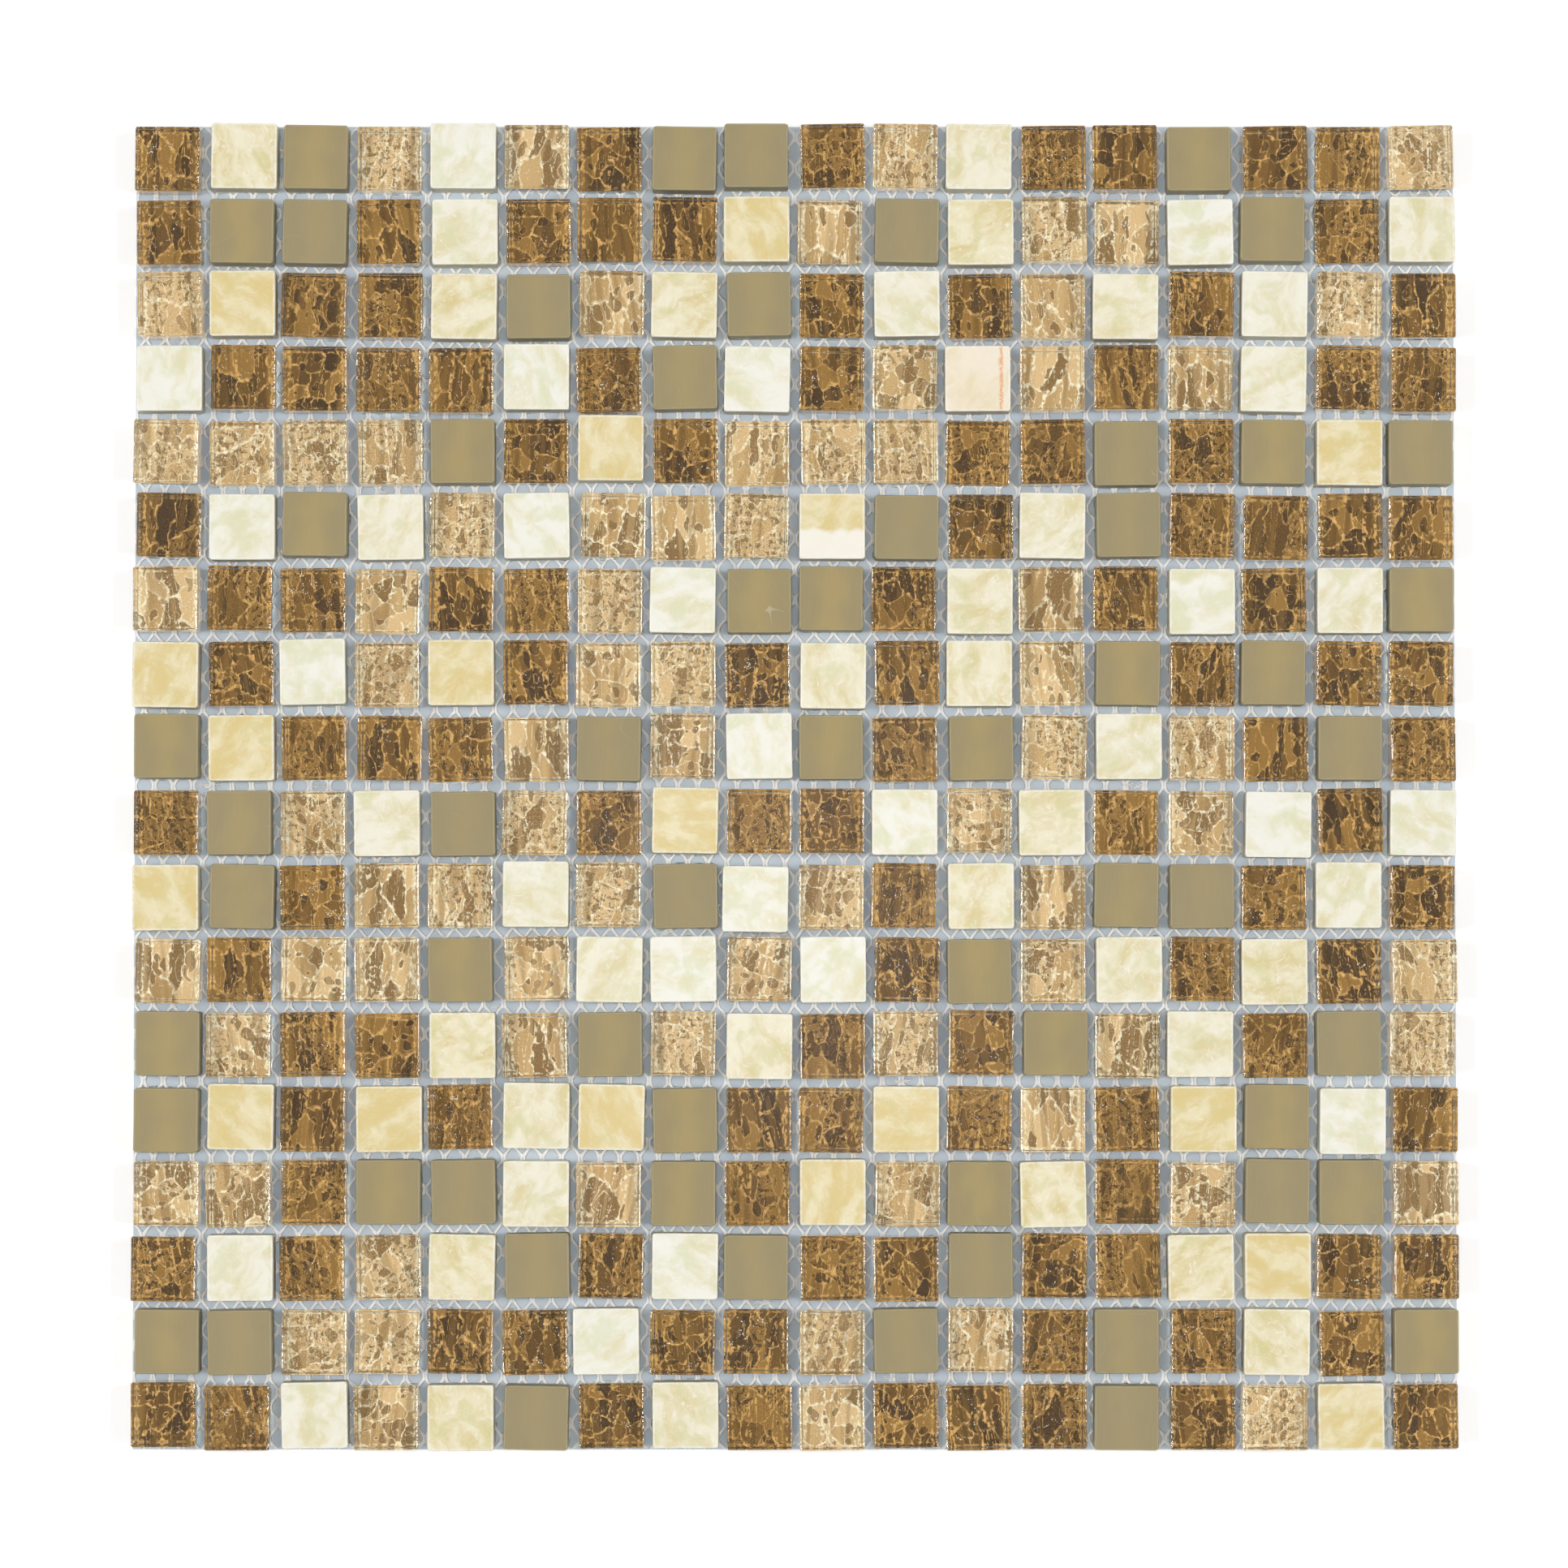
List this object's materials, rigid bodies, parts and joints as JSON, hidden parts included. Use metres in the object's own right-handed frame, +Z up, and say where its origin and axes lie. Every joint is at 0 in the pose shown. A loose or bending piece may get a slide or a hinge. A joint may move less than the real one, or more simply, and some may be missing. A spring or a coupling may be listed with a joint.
{
  "type": "mosaic tile sheet",
  "caption": "Square sheet of small crackle glass, frosted glass and onyx chips glued in open joints on a knitted net, for tiling walls and floors.",
  "frame": {"origin": "middle of the sheet, on the underside of its net", "axes": "+Z up through the chips' polished faces; +X along the rows of chips; +Y towards the first row of the laying plan"},
  "size_m": [0.3038, 0.3046, 0.0084],
  "materials": {
    "clear_glass": "polished, clear, faintly tinted",
    "dark_crackle": "crackled brown and gold film behind glass",
    "pale_crackle": "crackled tan and cream film behind glass",
    "frosted_glass": "etched satin olive",
    "onyx": "polished cream stone with soft clouds",
    "net_thread": "white knitted polyester net"
  },
  "bodies": {
    "root": {"dark_crackle_glass": "clear_glass", "dark_crackle_film": "dark_crackle", "pale_crackle_glass": "clear_glass", "pale_crackle_film": "pale_crackle", "frosted_glass_chips": "frosted_glass", "onyx_chips": "onyx", "net_band_01": "net_thread", "net_band_02": "net_thread", "net_band_03": "net_thread", "net_band_04": "net_thread", "net_band_05": "net_thread", "net_band_06": "net_thread", "net_band_07": "net_thread", "net_band_08": "net_thread", "net_band_09": "net_thread", "net_band_10": "net_thread", "net_band_11": "net_thread", "net_band_12": "net_thread", "net_band_13": "net_thread", "net_band_14": "net_thread", "net_band_15": "net_thread", "net_band_16": "net_thread", "net_band_17": "net_thread"}
  },
  "joints": []
}
